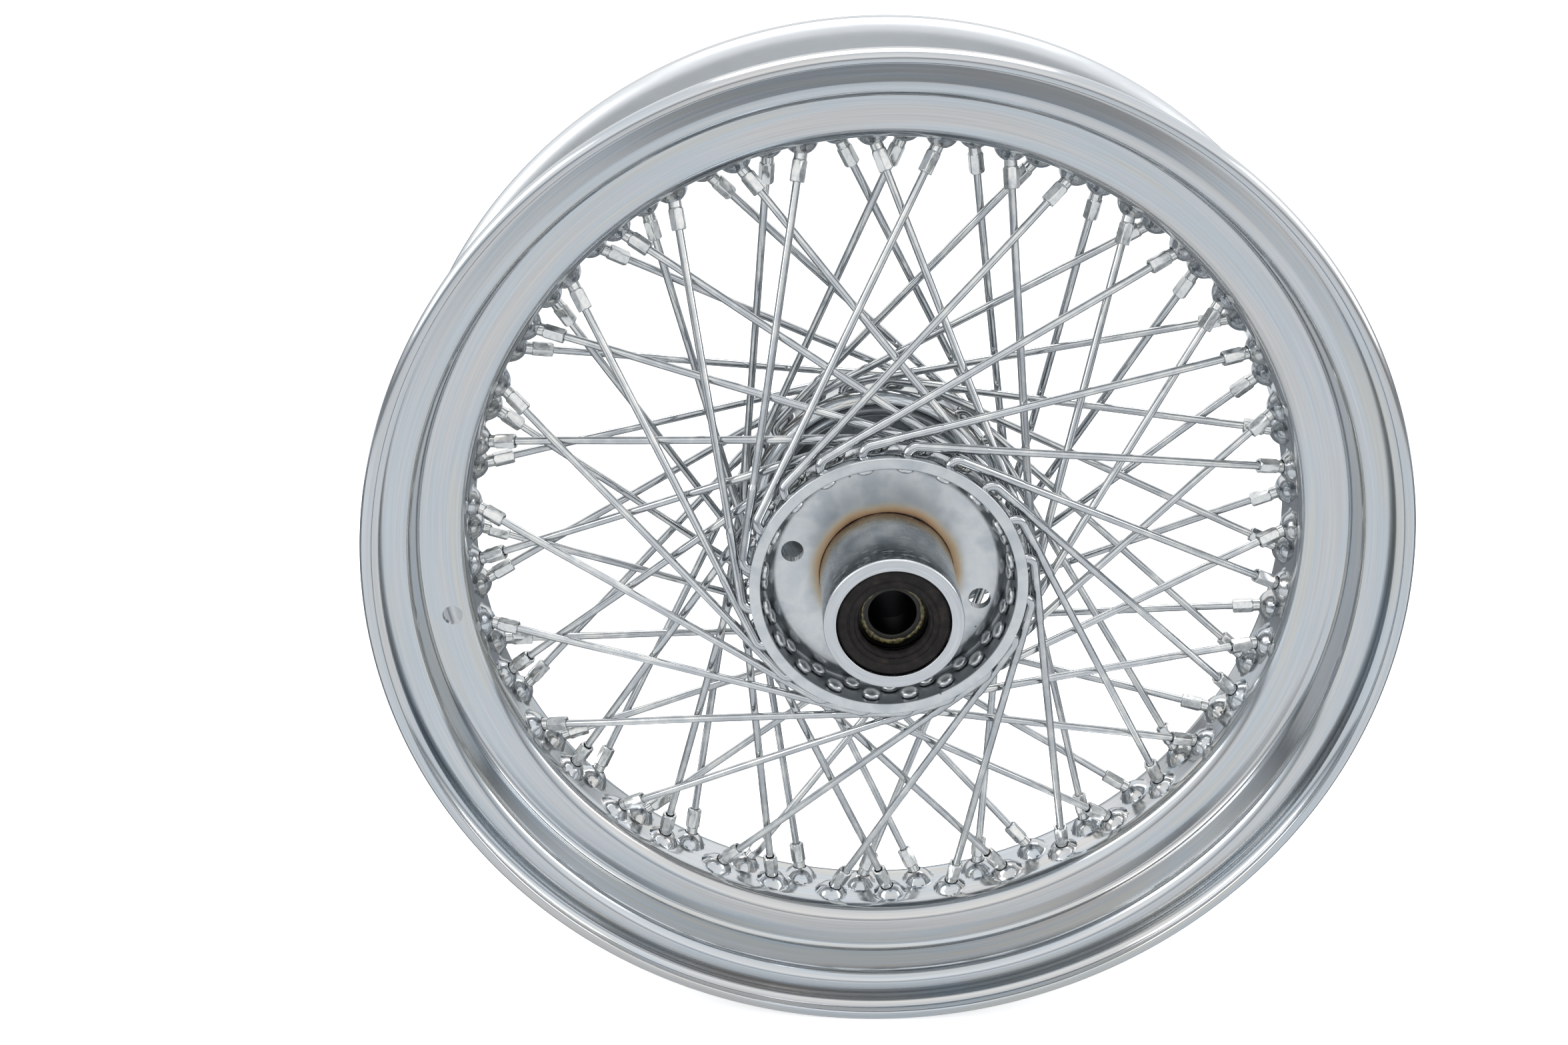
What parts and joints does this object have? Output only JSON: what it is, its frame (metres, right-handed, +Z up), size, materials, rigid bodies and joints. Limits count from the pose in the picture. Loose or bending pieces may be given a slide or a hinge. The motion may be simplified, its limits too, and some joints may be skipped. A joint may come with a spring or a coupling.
{
  "type": "spoked wheel",
  "caption": "Wire-spoked motorcycle wheel: a drop-centre steel rim laced to a pressed-flange hub that turns on tapered roller bearings.",
  "frame": {"origin": "wheel centre, on the axle's axis in the rim's centre plane", "axes": "+Y along the axle towards the brake disc side; the long end of the hub tube points to -Y; +Z up"},
  "size_m": [0.4356, 0.153, 0.4356],
  "materials": {
    "rim_plate": "bright plated",
    "spoke_plate": "bright plated",
    "nipple_plate": "dull plated",
    "flange_plate": "satin plated",
    "tube_steel": "turned and plated",
    "bearing_steel": "ground",
    "sleeve_steel": "turned",
    "bearing_grease": "wet",
    "seal_rubber": "matt"
  },
  "bodies": {
    "axle_core": {"near_bearing_cone": "bearing_steel", "far_bearing_cone": "bearing_steel", "spacer_sleeve": "sleeve_steel", "end_play_shim": "sleeve_steel"},
    "wheel": {"rim": "rim_plate", "hub_tube": "tube_steel", "near_flange": "flange_plate", "far_flange": "flange_plate", "disc_carrier": "tube_steel", "near_bearing_cup": "bearing_steel", "far_bearing_cup": "bearing_steel", "near_seal": "seal_rubber", "far_seal": "seal_rubber", "near_spoke_pair_01": "spoke_plate", "near_spoke_pair_02": "spoke_plate", "near_spoke_pair_03": "spoke_plate", "near_spoke_pair_04": "spoke_plate", "near_spoke_pair_05": "spoke_plate", "near_spoke_pair_06": "spoke_plate", "near_spoke_pair_07": "spoke_plate", "near_spoke_pair_08": "spoke_plate", "near_spoke_pair_09": "spoke_plate", "near_spoke_pair_10": "spoke_plate", "near_spoke_pair_11": "spoke_plate", "near_spoke_pair_12": "spoke_plate", "near_spoke_pair_13": "spoke_plate", "near_spoke_pair_14": "spoke_plate", "near_spoke_pair_15": "spoke_plate", "near_spoke_pair_16": "spoke_plate", "near_spoke_pair_17": "spoke_plate", "near_spoke_pair_18": "spoke_plate", "near_spoke_pair_19": "spoke_plate", "near_spoke_pair_20": "spoke_plate", "far_spoke_pair_01": "spoke_plate", "far_spoke_pair_02": "spoke_plate", "far_spoke_pair_03": "spoke_plate", "far_spoke_pair_04": "spoke_plate", "far_spoke_pair_05": "spoke_plate", "far_spoke_pair_06": "spoke_plate", "far_spoke_pair_07": "spoke_plate", "far_spoke_pair_08": "spoke_plate", "far_spoke_pair_09": "spoke_plate", "far_spoke_pair_10": "spoke_plate", "far_spoke_pair_11": "spoke_plate", "far_spoke_pair_12": "spoke_plate", "far_spoke_pair_13": "spoke_plate", "far_spoke_pair_14": "spoke_plate", "far_spoke_pair_15": "spoke_plate", "far_spoke_pair_16": "spoke_plate", "far_spoke_pair_17": "spoke_plate", "far_spoke_pair_18": "spoke_plate", "far_spoke_pair_19": "spoke_plate", "far_spoke_pair_20": "spoke_plate"},
    "near_rollers_body": {"near_rollers": "bearing_steel"},
    "far_rollers_body": {"far_rollers": "bearing_steel"}
  },
  "joints": [
    {"name": "wheel_spin", "type": "hinge", "parent": "axle_core", "child": "wheel", "pos_m": [0, 0, 0], "axis": [0, 1, 0], "continuous": true},
    {"name": "near_rollers_turn", "type": "hinge", "parent": "axle_core", "child": "near_rollers_body", "pos_m": [0, -0.068, 0], "axis": [0, 1, 0], "continuous": true},
    {"name": "far_rollers_turn", "type": "hinge", "parent": "axle_core", "child": "far_rollers_body", "pos_m": [0, 0.047, 0], "axis": [0, 1, 0], "continuous": true}
  ],
  "couplings": [
    {"joint": "near_rollers_turn", "follows": "wheel_spin", "ratio": 0.5962},
    {"joint": "far_rollers_turn", "follows": "wheel_spin", "ratio": 0.5962}
  ]
}
